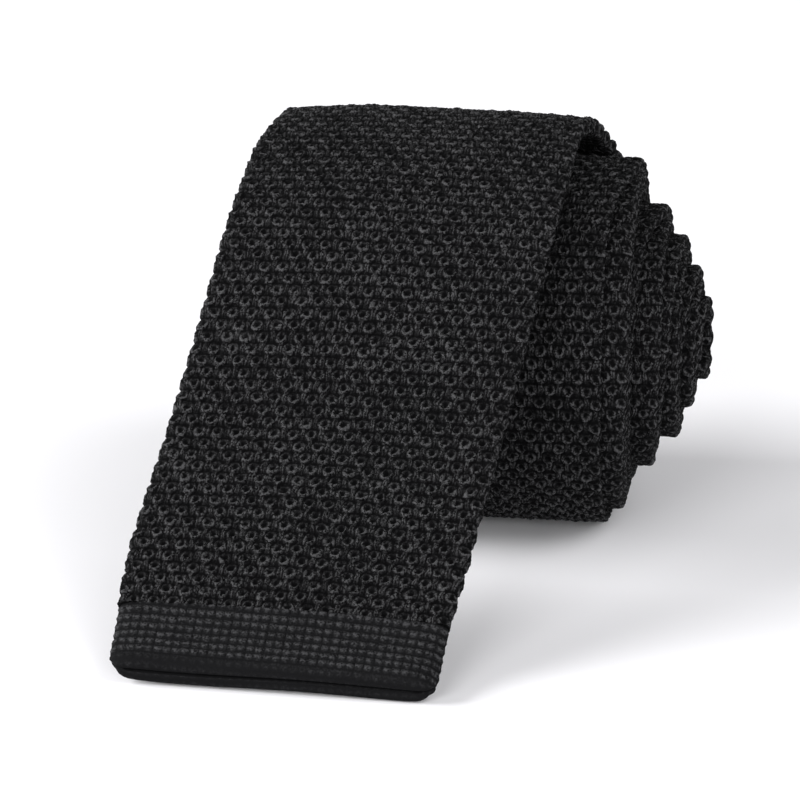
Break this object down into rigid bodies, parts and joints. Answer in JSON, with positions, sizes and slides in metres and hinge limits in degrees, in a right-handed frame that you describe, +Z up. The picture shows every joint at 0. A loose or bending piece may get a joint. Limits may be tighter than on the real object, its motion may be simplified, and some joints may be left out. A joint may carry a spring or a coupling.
{
  "type": "necktie",
  "caption": "Square-ended knitted necktie, rolled up with its blade end laid down in front, as separate sewn pieces with a blade that lifts.",
  "frame": {"origin": "middle of the line on which the roll rests on the table", "axes": "+Z up, -Y towards the free blade end, X along the axis of the roll with +X to the side the turns are pushed out to"},
  "size_m": [0.0885, 0.1318, 0.0717],
  "materials": {
    "blade_knit": "black honeycomb knit, soft yarn sheen",
    "plain_knit": "black plain knit, soft yarn sheen",
    "thread": "black sewing thread",
    "ribbon": "black satin ribbon",
    "stay_cotton": "dark woven cotton tape",
    "label_satin": "blank white satin label"
  },
  "bodies": {
    "roll": {"blade_rolled_turns": "blade_knit", "neck_tube": "blade_knit", "tail_tube": "blade_knit", "tail_end_band": "plain_knit", "tail_end_stitches": "thread", "neck_stay_tape": "stay_cotton", "blade_neck_seam": "thread", "neck_tail_seam": "thread", "keeper_loop": "ribbon", "keeper_tack_left": "thread", "keeper_tack_right": "thread", "care_label": "label_satin", "label_stitches": "thread"},
    "blade_end": {"blade_fall": "blade_knit", "blade_end_band": "plain_knit", "blade_end_back_ply": "plain_knit", "blade_end_turn_in": "plain_knit", "blade_end_stitches": "thread", "blade_end_tack_left": "thread", "blade_end_tack_right": "thread"}
  },
  "joints": [
    {"name": "blade_lift", "type": "hinge", "parent": "roll", "child": "blade_end", "pos_m": [0, 0, 0.0716], "axis": [-1, 0, 0], "range_deg": [0, 35]}
  ]
}
